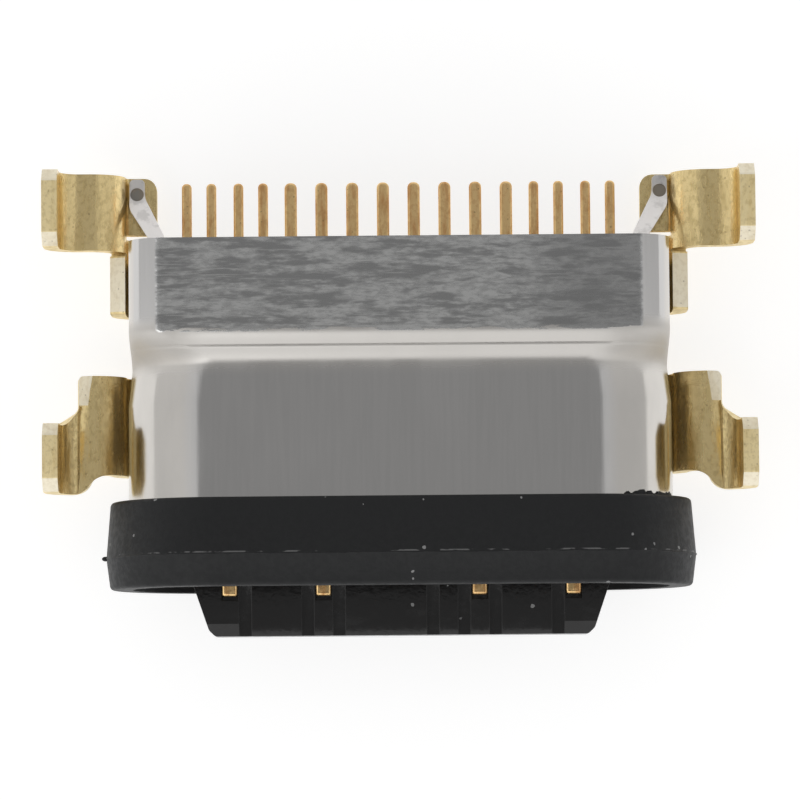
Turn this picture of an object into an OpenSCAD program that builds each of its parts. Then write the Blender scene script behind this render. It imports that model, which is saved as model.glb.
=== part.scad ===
// USB-C socket, mid-mount, sealed, with 16 contacts.
// X runs across the plug opening, +Y from the mouth to the solder tails, and
// +Z out of the side that the circuit board lies against. The origin is on the
// plug axis, in the plane of the shell's mouth. Lengths are in millimetres.

/* [Plug opening] */
// Width of the opening that takes the plug
mouth_w = 8.34; // [8:0.02:8.7]
// Height of the opening that takes the plug
mouth_h = 2.56; // [2.4:0.02:2.8]

/* [Shell] */
// Thickness of the drawn steel wall
shell_wall = 0.2; // [0.15:0.01:0.25]
// Length of the shell from its mouth to its rear edge
shell_len = 5.51; // [5.3:0.01:6.5]
// Distance from the mouth to the step in the board side
step_start = 3.5; // [3.3:0.05:3.6]
// Length of the step along the shell
step_len = 0.57; // [0.45:0.01:0.7]
// Height by which the rear of the shell stands above the front
step_rise = 0.2; // [0.12:0.01:0.26]
// Distance that each side steps in behind the mouth tunnel
rear_inset = 0.07; // [0:0.01:0.1]
// Outer radius of the corners behind the step
rear_corner_r = 0.6; // [0.4:0.05:0.8]
// Width of the lead-in chamfer inside the mouth
lead_in = 0.1; // [0.05:0.01:0.12]

/* [Tongue] */
// Width of the tongue
tongue_w = 6.69; // [6.55:0.01:6.8]
// Thickness of the tongue
tongue_t = 0.7; // [0.66:0.01:0.76]
// Distance that the tongue stands out of the mouth
tongue_reach = 0.76; // [0.4:0.01:0.9]
// Length of the bevel at the tip of the tongue
tip_bevel = 0.2; // [0.1:0.01:0.3]
// Width that each side of the tongue loses over its tapered nose
nose_taper = 0.26; // [0.1:0.01:0.3]
// Width of the grooves beside the long contacts
groove_w = 0.2; // [0.12:0.01:0.24]
// Depth of the grooves beside the long contacts
groove_d = 0.1; // [0.03:0.01:0.12]
// Depth of the side notches that the plug's latches drop into
latch_depth = 0.25; // [0.15:0.01:0.35]
// Length of the side notches that the plug's latches drop into
latch_len = 1; // [0.8:0.05:1.2]
// Distance from the mouth to the latch notches
latch_start = 0.9; // [0.7:0.05:1.1]

/* [Mouldings inside the shell] */
// Distance from the mouth to the base of the tongue
base_start = 3.75; // [3.65:0.05:3.85]
// Length of the base of the tongue along the shell
base_len = 0.5; // [0.4:0.05:0.55]
// Length of the resin that closes the rear of the shell
sealant_len = 0.48; // [0.4:0.02:0.6]
// Distance of the resin below the rear edge of the shell
sealant_recess = 0.1; // [0.05:0.01:0.2]
// Clearance of the mouldings in the shell
fit_gap = 0.01; // [0.01:0.01:0.03]

/* [Contacts] */
// Pitch of the contact pads on the tongue
pitch = 0.5; // [0.48:0.01:0.52]
// Thickness of the contact strip
contact_t = 0.12; // [0.1:0.01:0.14]
// Width of a contact pad
pad_w = 0.25; // [0.2:0.01:0.3]
// Width of a contact between its pad and its tail
lead_w = 0.18; // [0.14:0.01:0.2]
// Distance from the tip of the tongue to the long pads
long_setback = 0.57; // [0.4:0.01:0.8]
// Distance from the long pads back to the short ones
mate_lag = 0.5; // [0.3:0.05:0.8]
// Width of a signal tail
signal_tail_w = 0.2; // [0.16:0.01:0.24]
// Width of a power or ground tail
power_tail_w = 0.16; // [0.14:0.01:0.2]
// Distance from the plug axis to the middle of a pair of power tails
power_pair_x = 2.4; // [2.35:0.01:2.5]
// Distance from the plug axis to the middle of a pair of ground tails
ground_pair_x = 3.24; // [3.2:0.01:3.3]
// Distance between the two tails of a pair
pair_pitch = 0.4; // [0.36:0.01:0.42]
// Distance that the tails stand out behind the shell
tail_reach = 1.12; // [0.8:0.02:1.4]

/* [Mid-plate] */
// Thickness of the steel plate inside the tongue
plate_t = 0.15; // [0.12:0.01:0.2]
// Width of the arms that lead out behind the shell
arm_w = 0.22; // [0.18:0.01:0.26]
// Width of the plate at its base
plate_base_w = 8.04; // [7.9:0.02:8.1]
// Width of the arms' ends, which are welded to the bracket
ear_w = 0.25; // [0.22:0.01:0.3]
// Diameter of the weld spot on each end
weld_d = 0.22; // [0.16:0.01:0.24]

/* [Seal ring] */
// Thickness of the seal's lip over the shell's front edge
lip_t = 0.12; // [0.08:0.01:0.15]
// Length of the seal along the shell
seal_len = 1.4; // [1:0.05:1.5]
// Height of the seal's ridge above the shell
seal_proud = 0.34; // [0.3:0.01:0.45]
// Height of the seal above the shell at the mouth
seal_front = 0.26; // [0.15:0.01:0.28]
// Height of the seal above the shell at its rear edge
seal_rear = 0.25; // [0.18:0.01:0.28]
// Distance from the mouth to the seal's ridge
ridge_y = 0.5; // [0.4:0.05:0.8]

/* [Mounting bracket] */
// Thickness of the bracket sheet
bracket_t = 0.25; // [0.2:0.01:0.3]
// Clearance between the bracket walls and the shell
wall_gap = 0.08; // [0.03:0.01:0.1]
// Inner radius of the saddle's corners
saddle_r = 0.35; // [0.25:0.01:0.35]
// Height of the board seat, from the plug axis
seat_z = -0.55; // [-0.6:0.01:-0.5]
// Distance between the outer faces of the legs
legs_span = 11.48; // [11.3:0.02:11.8]
// Height of the leg tips above the board seat
tip_height = 0.95; // [0.8:0.05:1.4]
// Inner radius of the bend from wall to board seat
root_bend_r = 0.33; // [0.2:0.01:0.34]
// Inner radius of the bend from board seat to leg
foot_bend_r = 0.33; // [0.15:0.01:0.36]
// Distance from the mouth to the saddle
saddle_start = 1.9; // [1.8:0.01:2.1]
// Width of the front legs
front_leg_w = 1.11; // [1:0.01:1.3]
// Distance that a front leg is joggled towards the mouth
leg_joggle = 0.315; // [0.2:0.005:0.45]
// Distance that the shoulder behind a front leg stands back from the leg
leg_shoulder = 0.25; // [0.1:0.01:0.3]
// Width of the rear legs
rear_leg_w = 1.25; // [1.1:0.01:1.5]
// Length of the plain wall in front of each rear leg
wall_strip_len = 1.03; // [0.8:0.01:1.1]
// Size of the chamfer on the corners of the leg tips
tip_chamfer = 0.2; // [0.1:0.01:0.3]
// Width of the weld tabs under the mid-plate's arms
tab_w = 0.49; // [0.35:0.01:0.55]
// Inner radius of the bend from wall to weld tab
tab_bend_r = 0.05; // [0.03:0.01:0.1]

/* [Hidden] */
$fn = 48;
arc_steps = 6;
eps = 0.01;

// Shell
mouth_arc_x = (mouth_w - mouth_h) / 2;
step_end = step_start + step_len;
outer_half_w = mouth_w / 2 + shell_wall;
outer_half_h = mouth_h / 2 + shell_wall;
rear_inner_r = rear_corner_r - shell_wall;
step_points = 12;

// Mouldings
base_end = base_start + base_len;
sealant_end = shell_len - sealant_recess;
sealant_start = sealant_end - sealant_len;
root_len = 0.55;
root_side = 0.2;
root_step = 0.25;
root_half_w = tongue_w / 2 + root_side;
root_half_h = tongue_t / 2 + root_step;
nose_r = 0.1;
latch_clearance = 0.05;
// Places of the grooves on the board side, in pitches
GROOVES = [-5, -3, -2, 1, 2, 3, 5];

// Contacts
long_front = long_setback - tongue_reach;
pad_rear = base_start - root_len;
jog_inset = 0.15;
jog_start = base_start + jog_inset;
jog_end = sealant_start - 1.2 * jog_inset;
jog_r = contact_t;
contact_bend_r = contact_t * 1.1;
drop_y = sealant_start + contact_bend_r;
tail_end = shell_len + tail_reach;
pair_half = pair_pitch / 2;

// Mid-plate
plate_embed = 0.35;
plate_bare_start = 0.3;
plate_corner_r = 0.08;
plate_end = sealant_start - contact_t - 0.1 * plate_t;
arm_root = plate_end - 2 * plate_t;
arm_outer_x = plate_base_w / 2;
arm_inner_x = arm_outer_x - arm_w;
slope_start = sealant_start + plate_t;
slope_bend_r = 0.4;

// Bracket
leg_half_span = legs_span / 2;
wall_inner_x = outer_half_w + wall_gap;
wall_mid_x = wall_inner_x + bracket_t / 2;
wall_outer_x = wall_inner_x + bracket_t;
saddle_top = -outer_half_h - fit_gap;
saddle_mid_z = saddle_top - bracket_t / 2;
seat_mid_z = seat_z - bracket_t / 2;
leg_mid_x = leg_half_span - bracket_t / 2;
leg_room = leg_half_span - wall_outer_x;
wall_h = seat_mid_z - saddle_mid_z;
saddle_bend_r = min(saddle_r + bracket_t / 2, 0.5 * wall_h);
root_r = min(root_bend_r + bracket_t / 2, 0.47 * leg_room, 0.49 * wall_h);
foot_r = min(foot_bend_r + bracket_t / 2, 0.47 * leg_room);
tip_z = seat_z + tip_height;
front_leg_start = saddle_start - leg_joggle;
front_leg_end = front_leg_start + front_leg_w;
shoulder_y = front_leg_end + leg_shoulder;
front_wall_len = 1.61;
window_start = saddle_start + front_wall_len;
relief_w = 0.08;
wall_notch_y = shell_len + relief_w / 2;
window_end = wall_notch_y - wall_strip_len;
rear_leg_end = wall_notch_y + rear_leg_w;
saddle_end = shell_len - relief_w;
free_edge_x = wall_outer_x + 0.5 * leg_room;
joggle_x = wall_outer_x + 0.22 * leg_room;
joggle_end_x = wall_outer_x + 0.42 * leg_room;
joggle_r = 0.15;
coin_w = 0.19 * leg_room;
strip_drop = 0.07;
strip_top = seat_z - strip_drop;

// Weld tabs of the bracket, and the ends of the mid-plate's arms on them
wall_low = seat_mid_z - root_r;
tab_top = wall_low - 2 * tab_bend_r;
tab_start = wall_notch_y + 4 * relief_w;
tab_inner_x = wall_inner_x - tab_w;
tab_corner_r = 0.2;
ear_drop = -tab_top - plate_t / 2;
ear_end = rear_leg_end - plate_t / 5;
slope_end = ear_end - 1.4 * ear_w;
ear_outer_x = wall_inner_x - tab_bend_r;
ear_inner_x = ear_outer_x - ear_w;

// Each contact: name, pad place in pitches, tail place, row (1 is the board
// side of the tongue, -1 the far side), and whether it is a long one
CONTACTS = [
    ["contact_a01", -5.5, -ground_pair_x + pair_half, 1, true],
    ["contact_a04", -2.5, -power_pair_x + pair_half, 1, true],
    ["contact_a05", -1.5, -2.5 * pitch, 1, false],
    ["contact_a06", -0.5, -0.5 * pitch, 1, false],
    ["contact_a07", 0.5, 0.5 * pitch, 1, false],
    ["contact_a08", 1.5, 2.5 * pitch, 1, false],
    ["contact_a09", 2.5, power_pair_x - pair_half, 1, true],
    ["contact_a12", 5.5, ground_pair_x - pair_half, 1, true],
    ["contact_b01", 5.5, ground_pair_x + pair_half, -1, true],
    ["contact_b04", 2.5, power_pair_x + pair_half, -1, true],
    ["contact_b05", 1.5, 3.5 * pitch, -1, false],
    ["contact_b06", 0.5, 1.5 * pitch, -1, false],
    ["contact_b07", -0.5, -1.5 * pitch, -1, false],
    ["contact_b08", -1.5, -3.5 * pitch, -1, false],
    ["contact_b09", -2.5, -power_pair_x - pair_half, -1, true],
    ["contact_b12", -5.5, -ground_pair_x - pair_half, -1, true]
];

// ---- Outlines -------------------------------------------------------------

function unit(v) = v / norm(v);
function normal(v) = [-v.y, v.x];
function flat(p) = [p.x, p.y];
function reversed(list) = [for (i = [len(list) - 1 : -1 : 0]) list[i]];
function turned(p, a) = [p.x * cos(a) - p.y * sin(a), p.x * sin(a) + p.y * cos(a)];

// The arc of radius r that rounds the corner b between a and c; where the line
// runs straight through b there is nothing to round
function corner(a, b, c, r) =
    r == 0 || norm(unit(a - b) + unit(c - b)) < eps ? [b] :
    let (
        u = unit(a - b),
        v = unit(c - b),
        half = acos(u * v) / 2,
        centre = b + unit(u + v) * r / sin(half),
        first = b + u * r / tan(half) - centre,
        turn = (u.x * v.y > u.y * v.x ? -1 : 1) * (180 - 2 * half)
    )
    [for (k = [0 : arc_steps]) centre + turned(first, turn * k / arc_steps)];

// A closed outline from points [x, y, corner radius]
function rounded_loop(p) =
    let (n = len(p))
    [for (i = [0 : n - 1])
        each corner(flat(p[(i + n - 1) % n]), flat(p[i]), flat(p[(i + 1) % n]), p[i][2])];

// An open line from points [x, y, bend radius]; its two ends stay sharp
function rounded_line(p) =
    let (last = len(p) - 1)
    [for (i = [0 : last])
        each (i == 0 || i == last) ? [flat(p[i])]
            : corner(flat(p[i - 1]), flat(p[i]), flat(p[i + 1]), p[i][2])];

// The line moved sideways by d
function beside(line, d) =
    let (last = len(line) - 1)
    [for (i = [0 : last])
        let (
            before = normal(unit(i == 0 ? line[1] - line[0] : line[i] - line[i - 1])),
            after = normal(unit(i == last ? line[i] - line[i - 1] : line[i + 1] - line[i])),
            across = unit(before + after)
        )
        line[i] + across * d / (across * before)];

// A strip of thickness t along a centre line
module ribbon(line, t) {
    polygon(concat(beside(line, t / 2), reversed(beside(line, -t / 2))));
}

// A slot outline: straight above and below, and half round at both ends
module stadium(w, h) {
    square([w - h, h], center = true);
    for (side = [-1, 1])
        translate([side * (w - h) / 2, 0]) circle(d = h);
}

// ---- Directions -----------------------------------------------------------

// An outline in X and Z, pulled along Y from y0 to y1
module along_y(y0, y1) {
    translate([0, y1, 0]) rotate([90, 0, 0]) linear_extrude(y1 - y0) children();
}

// An outline in Y and Z, pulled along X from x0 to x1
module along_x(x0, x1) {
    translate([x0, 0, 0]) rotate([90, 0, 90]) linear_extrude(x1 - x0) children();
}

// An outline in X and Y, pulled along Z from z0 to z1
module along_z(z0, z1) {
    translate([0, 0, z0]) linear_extrude(z1 - z0) children();
}

// The same shape on the right and on the left
module both_sides() {
    children();
    mirror([1, 0, 0]) children();
}

// Sweeps a section round the mouth. Its x is the distance out from the centres
// of the mouth's half-round ends, and its y is the distance behind the mouth
module round_the_mouth() {
    for (side = [-1, 1])
        translate([side * mouth_arc_x, 0, 0]) rotate([-90, 0, 0]) rotate([0, 0, -90 * side])
            rotate_extrude(angle = 180) children();
    for (up = [0, 1])
        mirror([0, 0, up]) translate([mouth_arc_x, 0, 0]) rotate([0, -90, 0])
            linear_extrude(2 * mouth_arc_x) children();
}

// ---- Shell ----------------------------------------------------------------

// Height of the board side at the distance y, for a surface d outside the cavity
function step_height(y, d) =
    mouth_h / 2 + d + step_rise * (1 - cos(180 * (y - step_start) / step_len)) / 2;

// The squarer section behind the step
module rear_section(d) {
    r = rear_inner_r + d;
    half_w = mouth_w / 2 - rear_inset + d;
    low = -mouth_h / 2 - d;
    high = mouth_h / 2 + step_rise + d;
    translate([-half_w + r, low]) square([2 * (half_w - r), high - low]);
    translate([-half_w, low + r]) square([2 * half_w, high - low - 2 * r]);
    for (x = [-half_w + r, half_w - r], z = [low + r, high - r])
        translate([x, z]) circle(r);
}

// Side view of the rear: the board side rises over the step in a smooth S
module step_profile(d, rear) {
    far = 2 * mouth_h;
    polygon(concat(
        [[rear, -far], [step_start, -far]],
        [for (k = [0 : step_points])
            let (y = step_start + step_len * k / step_points) [y, step_height(y, d)]],
        [[rear, step_height(step_end, d)]]));
}

// The half-round ends open out into the corners over the step
module corner_flare(d, rear) {
    corner_x = mouth_h / 2 - rear_inset - rear_inner_r;
    corner_z = mouth_h / 2 + step_rise - rear_inner_r;
    corner_reach = norm([corner_x, corner_z]) + rear_inner_r;
    growth = (corner_reach - mouth_h / 2) / step_len;
    start_r = mouth_h / 2 + d;
    end_r = start_r + growth * (rear - step_start);
    for (side = [-1, 1])
        translate([side * mouth_arc_x, step_start, 0]) rotate([-90, 0, 0])
            cylinder(h = rear - step_start, r1 = start_r, r2 = end_r);
    translate([-mouth_arc_x, step_start, -end_r])
        cube([2 * mouth_arc_x, rear - step_start, 2 * end_r]);
}

// The tunnel behind the mouth; its sides draw in to meet the rear section
module mouth_tunnel(d, front) {
    half_w = mouth_w / 2 + d;
    draw_in_start = step_start - 8 * rear_inset;
    intersection() {
        along_y(front, step_start) stadium(2 * half_w, mouth_h + 2 * d);
        along_z(-mouth_h, mouth_h) polygon([
            [-half_w, front - eps],
            [half_w, front - eps],
            [half_w, draw_in_start],
            [half_w - rear_inset, step_start],
            [rear_inset - half_w, step_start],
            [-half_w, draw_in_start]
        ]);
    }
}

// Everything within a surface d outside the shell's cavity
module shell_form(d, front = lip_t, rear = shell_len) {
    mouth_tunnel(d, front);
    intersection() {
        along_y(step_start, rear) rear_section(d);
        along_x(-mouth_w, mouth_w) step_profile(d, rear);
        corner_flare(d, rear);
    }
}

module shell() {
    color("silver") difference() {
        shell_form(shell_wall);
        shell_form(0, front = lip_t - eps, rear = shell_len + eps);
        round_the_mouth() polygon([
            [mouth_h / 2 - lead_in, lip_t - eps],
            [mouth_h / 2 + lead_in, lip_t - eps],
            [mouth_h / 2 - lead_in, lip_t + 2 * lead_in - eps]
        ]);
    }
}

// ---- Seal ring ------------------------------------------------------------

// Section of the seal: round-edged, with a ridge all the way round and a lip
// over the shell's front edge
module seal_section() {
    bore = outer_half_h + fit_gap;
    lip_bore = mouth_h / 2 + lead_in;
    lip_back = lip_t - fit_gap;
    front = outer_half_h + seal_front;
    rear = outer_half_h + seal_rear;
    front_r = (front - bore) / 2;
    rear_r = (rear - bore) / 2;
    translate([front - front_r, front_r]) circle(front_r);
    translate([rear - rear_r, seal_len - rear_r]) circle(rear_r);
    polygon([
        [bore, lip_back],
        [lip_bore, lip_back],
        [lip_bore, 0],
        [front - front_r, 0],
        [front - front_r * 0.1, front_r * 0.56],
        [outer_half_h + seal_proud, ridge_y],
        [rear - rear_r * 0.02, seal_len - rear_r * 0.8],
        [rear - rear_r, seal_len],
        [bore, seal_len]
    ]);
}

module seal_ring() {
    color([0.13, 0.13, 0.14]) round_the_mouth() seal_section();
}

// ---- Mid-plate ------------------------------------------------------------

// Right half of the plate inside the tongue and the base
module plate_outline() {
    half_w = tongue_w / 2;
    inner_w = half_w - plate_embed;
    polygon(rounded_loop([
        [0, 0, 0],
        [inner_w, 0, 2 * plate_corner_r],
        [inner_w, plate_bare_start, 0],
        [half_w, plate_bare_start, plate_corner_r],
        [half_w, latch_start, 0],
        [half_w - latch_depth, latch_start, plate_corner_r],
        [half_w - latch_depth, latch_start + latch_len, plate_corner_r],
        [half_w, latch_start + latch_len, 0],
        [half_w, jog_start, 0],
        [arm_outer_x, jog_start, plate_corner_r],
        [arm_outer_x, plate_end, 0],
        [0, plate_end, 0]
    ]));
}

// Right arm seen along Z, swept outwards to its welded end
module arm_outline() {
    sweep_r = 0.35;
    polygon(rounded_loop([
        [arm_inner_x, arm_root, 0],
        [arm_inner_x, shell_len + ear_w, sweep_r],
        [ear_inner_x, ear_end - 1.2 * ear_w, sweep_r],
        [ear_inner_x, ear_end, plate_corner_r],
        [ear_outer_x, ear_end, plate_corner_r],
        [ear_outer_x, ear_end - 2 * ear_w, sweep_r],
        [arm_outer_x, shell_len + 0.6 * ear_w, sweep_r],
        [arm_outer_x, arm_root, 0]
    ]));
}

// Side view of the sheet that the arms are cut from: it slopes down to the
// bracket's weld tabs
module arm_profile() {
    ribbon(rounded_line([
        [arm_root, 0],
        [slope_start, 0, slope_bend_r],
        [slope_end, -ear_drop, slope_bend_r],
        [ear_end + eps, -ear_drop]
    ]), plate_t);
}

module plate_solid() {
    along_z(-plate_t / 2, plate_t / 2) both_sides() plate_outline();
    both_sides() intersection() {
        along_z(-ear_drop - plate_t, plate_t) arm_outline();
        along_x(arm_inner_x - eps, wall_inner_x) arm_profile();
    }
}

module mid_plate() {
    weld_depth = 0.03;
    color("silver") difference() {
        plate_solid();
        both_sides()
            translate([(ear_inner_x + ear_outer_x) / 2, ear_end - ear_w, tab_top + plate_t - weld_depth])
                cylinder(h = plate_t, d = weld_d);
    }
}

// ---- Contacts -------------------------------------------------------------

// One contact: pad on the tongue, sideways lead, drop and solder tail
module contact_solid(spec) {
    pad_x = spec[1] * pitch;
    tail_x = spec[2];
    row = spec[3];
    front = long_front + (spec[4] ? 0 : mate_lag);
    tail_w = spec[4] ? power_tail_w : signal_tail_w;
    pad_mid_z = row * (tongue_t - contact_t) / 2;
    tail_mid_z = seat_z - contact_t / 2;
    end_r = tail_w * 0.45;
    lead = rounded_line([
        [pad_x, pad_rear],
        [pad_x, jog_start, jog_r],
        [tail_x, jog_end, jog_r],
        [tail_x, sealant_start]
    ]);
    along_z(pad_mid_z - contact_t / 2, pad_mid_z + contact_t / 2) {
        translate([pad_x - pad_w / 2, front]) square([pad_w, pad_rear - front]);
        ribbon(lead, lead_w);
    }
    intersection() {
        along_x(tail_x - tail_w / 2, tail_x + tail_w / 2)
            ribbon(rounded_line([
                [jog_end, pad_mid_z],
                [drop_y, pad_mid_z, contact_bend_r],
                [drop_y, tail_mid_z, contact_bend_r],
                [tail_end, tail_mid_z]
            ]), contact_t);
        along_z(-mouth_h, mouth_h) polygon(rounded_loop([
            [tail_x - tail_w / 2, jog_end, 0],
            [tail_x - tail_w / 2, tail_end, end_r],
            [tail_x + tail_w / 2, tail_end, end_r],
            [tail_x + tail_w / 2, jog_end, 0]
        ]));
    }
}

module contact(spec) {
    color([0.83, 0.66, 0.34]) contact_solid(spec);
}

// What the mouldings are moulded round
module inserts() {
    plate_solid();
    for (spec = CONTACTS) contact_solid(spec);
}

// ---- Mouldings ------------------------------------------------------------

// The tongue seen along Z, with its tapered nose and its latch notches
module tongue_outline() {
    half_w = tongue_w / 2;
    notch_x = half_w - latch_depth;
    notch_start = latch_start - latch_clearance;
    notch_end = latch_start + latch_len + latch_clearance;
    both_sides() polygon(rounded_loop([
        [0, -tongue_reach, 0],
        [half_w - nose_taper - nose_r, -tongue_reach, nose_r],
        [half_w - nose_taper, -tongue_reach + nose_r, nose_r],
        [half_w, nose_r, 3 * nose_r],
        [half_w, notch_start, 0],
        [notch_x, notch_start, 0],
        [notch_x, notch_end, 0],
        [half_w, notch_end, 0],
        [half_w, base_start + eps, 0],
        [0, base_start + eps, 0]
    ]));
}

// The tongue seen along X, with its bevelled tip
module tongue_profile() {
    half_t = tongue_t / 2;
    tip_half_t = half_t - tip_bevel * 0.4;
    polygon([
        [-tongue_reach, -tip_half_t],
        [-tongue_reach, tip_half_t],
        [-tongue_reach + tip_bevel, half_t],
        [base_start + eps, half_t],
        [base_start + eps, -half_t],
        [-tongue_reach + tip_bevel, -half_t]
    ]);
}

// Shallow grooves that run out through the tip; the far side has them in
// mirrored places
module grooves() {
    for (side = [-1, 1], place = GROOVES)
        translate([side * place * pitch - groove_w / 2, -tongue_reach - eps, side * tongue_t / 2 - groove_d])
            cube([groove_w, long_setback + mate_lag, 2 * groove_d]);
}

module tongue_overmould() {
    color([0.1, 0.1, 0.11]) difference() {
        union() {
            intersection() {
                along_z(-tongue_t, tongue_t) tongue_outline();
                along_x(-tongue_w, tongue_w) tongue_profile();
            }
            translate([-root_half_w, pad_rear, -root_half_h])
                cube([2 * root_half_w, root_len + eps, 2 * root_half_h]);
            intersection() {
                shell_form(-fit_gap);
                along_y(base_start, base_end) square(4 * mouth_w, center = true);
            }
        }
        inserts();
        grooves();
    }
}

// The part of the shell's cavity from y0 to y1 and from z0 to z1
module filling(y0, y1, z0, z1, gap) {
    intersection() {
        shell_form(-gap);
        translate([-mouth_w, y0, z0]) cube([2 * mouth_w, y1 - y0, z1 - z0]);
    }
}

module upper_carrier() {
    color([0.14, 0.14, 0.15]) difference() {
        filling(base_end, sealant_start, plate_t / 2, mouth_h, fit_gap);
        inserts();
    }
}

module lower_carrier() {
    color([0.14, 0.14, 0.15]) difference() {
        filling(base_end, sealant_start, -mouth_h, -plate_t / 2, fit_gap);
        inserts();
    }
}

module rear_sealant() {
    color([0.2, 0.19, 0.18]) difference() {
        filling(sealant_start, sealant_end, -mouth_h, mouth_h, 0);
        inserts();
    }
}

// ---- Mounting bracket -----------------------------------------------------

// End view of the folded sheet, from the tip of one leg to the tip of the other
module bracket_section() {
    right = [
        [wall_mid_x, saddle_mid_z, saddle_bend_r],
        [wall_mid_x, seat_mid_z, root_r],
        [leg_mid_x, seat_mid_z, foot_r],
        [leg_mid_x, tip_z, 0]
    ];
    left = [for (p = reversed(right)) [-p.x, p.y, p[2]]];
    ribbon(rounded_line(concat(left, right)), bracket_t);
}

// Right half of the saddle, the wall and the legs seen along Z
module bracket_outline() {
    leg_x = leg_half_span + eps;
    polygon(rounded_loop([
        [0, saddle_start, 0],
        [joggle_x, saddle_start, joggle_r],
        [joggle_end_x, front_leg_start, joggle_r],
        [leg_x, front_leg_start, 0],
        [leg_x, front_leg_end, 0],
        [leg_half_span - bracket_t, front_leg_end, joggle_r],
        [free_edge_x, shoulder_y, joggle_r / 2],
        [free_edge_x, window_start, joggle_r / 2],
        [wall_outer_x, window_start, 0],
        [wall_outer_x, wall_notch_y, 0],
        [leg_x, wall_notch_y, 0],
        [leg_x, rear_leg_end, 0],
        [tab_inner_x, rear_leg_end, 0],
        [tab_inner_x, saddle_end, joggle_r],
        [0, saddle_end, 0]
    ]));
}

// The saddle and the legs seen along X. The wall is cut back to wall_low in
// front of the front legs, and above the rear tabs
module bracket_side() {
    low = saddle_mid_z - bracket_t;
    cut_z = wall_low - eps;
    saddle_high = saddle_mid_z + saddle_bend_r;
    chamfer_z = tip_z - tip_chamfer * 1.1;
    polygon(rounded_loop([
        [saddle_start, low, 0],
        [saddle_start, cut_z, 0],
        [front_leg_start, cut_z, 0],
        [front_leg_start, chamfer_z, 0],
        [front_leg_start + tip_chamfer, tip_z + eps, 0],
        [front_leg_end - tip_chamfer, tip_z + eps, 0],
        [front_leg_end, chamfer_z, 0],
        [front_leg_end, seat_z + bracket_t + foot_bend_r, 0],
        [shoulder_y, seat_z + bracket_t / 2, 0],
        [window_start, seat_z + bracket_t / 2, 0],
        [window_start, saddle_high, 0],
        [wall_notch_y, saddle_high, 0],
        [wall_notch_y, chamfer_z, 0],
        [wall_notch_y + tip_chamfer, tip_z + eps, 0],
        [rear_leg_end - tip_chamfer, tip_z + eps, 0],
        [rear_leg_end, chamfer_z, 0],
        [rear_leg_end, cut_z, 0],
        [tab_start - relief_w, cut_z, relief_w / 2],
        [tab_start - relief_w, low, 0]
    ]));
}

// The plain piece of wall in front of a rear leg, with its sheared edge aslant
module wall_strip() {
    low = saddle_mid_z + saddle_bend_r - eps;
    along_y(window_end, wall_notch_y - relief_w) polygon([
        [wall_inner_x, low],
        [wall_outer_x, low],
        [wall_outer_x, strip_top - bracket_t / 3],
        [wall_inner_x, strip_top]
    ]);
}

// The tab that is folded in under a rear leg, to carry an arm of the mid-plate
module weld_tab() {
    tab_mid_z = tab_top - bracket_t / 2;
    intersection() {
        along_y(tab_start, rear_leg_end) ribbon(rounded_line([
            [tab_inner_x, tab_mid_z],
            [wall_mid_x, tab_mid_z, tab_bend_r + bracket_t / 2],
            [wall_mid_x, wall_low]
        ]), bracket_t);
        along_z(tab_mid_z - bracket_t, 0) polygon(rounded_loop([
            [tab_inner_x, tab_start, 0],
            [tab_inner_x, rear_leg_end, tab_corner_r],
            [wall_outer_x + eps, rear_leg_end, 0],
            [wall_outer_x + eps, tab_start, 0]
        ]));
    }
}

module mounting_bracket() {
    color([0.8, 0.64, 0.38]) difference() {
        union() {
            intersection() {
                along_y(front_leg_start, rear_leg_end) bracket_section();
                along_z(-2 * mouth_h, 2 * mouth_h) both_sides() bracket_outline();
                along_x(-legs_span, legs_span) bracket_side();
            }
            both_sides() {
                wall_strip();
                weld_tab();
            }
        }
        // Coined edge on the free corner behind each front leg
        both_sides() along_y(shoulder_y + joggle_r / 2, window_start + eps) polygon([
            [free_edge_x - coin_w, seat_z + eps],
            [free_edge_x + eps, seat_z + eps],
            [free_edge_x + eps, seat_z - coin_w * 0.4]
        ]);
    }
}

// ---- The part -------------------------------------------------------------

shell();
mounting_bracket();
seal_ring();
tongue_overmould();
upper_carrier();
lower_carrier();
mid_plate();
rear_sealant();
for (spec = CONTACTS)
    contact(spec);
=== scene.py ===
"""Looks of a sealed mid-mount plug socket for a board, dressed on its CAD frame.

Everything is in metres, in the frame of the CAD model: +X to the right along
the mouth, +Y from the mouth to the rear, +Z to the board side.
"""

from __future__ import annotations

import logging
import math
import random
from dataclasses import dataclass, field
from enum import Enum

import bmesh
import bpy
from mathutils import Matrix, Vector

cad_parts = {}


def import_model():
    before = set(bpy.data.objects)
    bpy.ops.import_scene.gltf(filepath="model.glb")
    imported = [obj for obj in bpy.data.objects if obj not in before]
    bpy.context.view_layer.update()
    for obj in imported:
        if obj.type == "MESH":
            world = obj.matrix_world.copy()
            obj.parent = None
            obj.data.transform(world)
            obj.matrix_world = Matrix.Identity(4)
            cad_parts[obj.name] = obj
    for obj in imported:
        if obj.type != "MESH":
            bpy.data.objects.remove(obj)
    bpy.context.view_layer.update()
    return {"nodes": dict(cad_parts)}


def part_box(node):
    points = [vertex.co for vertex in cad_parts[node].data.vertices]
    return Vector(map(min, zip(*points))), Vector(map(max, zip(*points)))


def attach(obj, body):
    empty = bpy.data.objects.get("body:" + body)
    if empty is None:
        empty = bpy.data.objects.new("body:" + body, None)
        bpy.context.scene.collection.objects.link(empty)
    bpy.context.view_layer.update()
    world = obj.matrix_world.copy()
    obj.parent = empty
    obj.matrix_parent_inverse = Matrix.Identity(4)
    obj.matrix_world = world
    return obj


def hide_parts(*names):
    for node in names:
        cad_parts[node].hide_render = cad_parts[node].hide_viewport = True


logging.basicConfig(level=logging.INFO, format="%(name)s: %(message)s")
log = logging.getLogger("socket")

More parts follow.
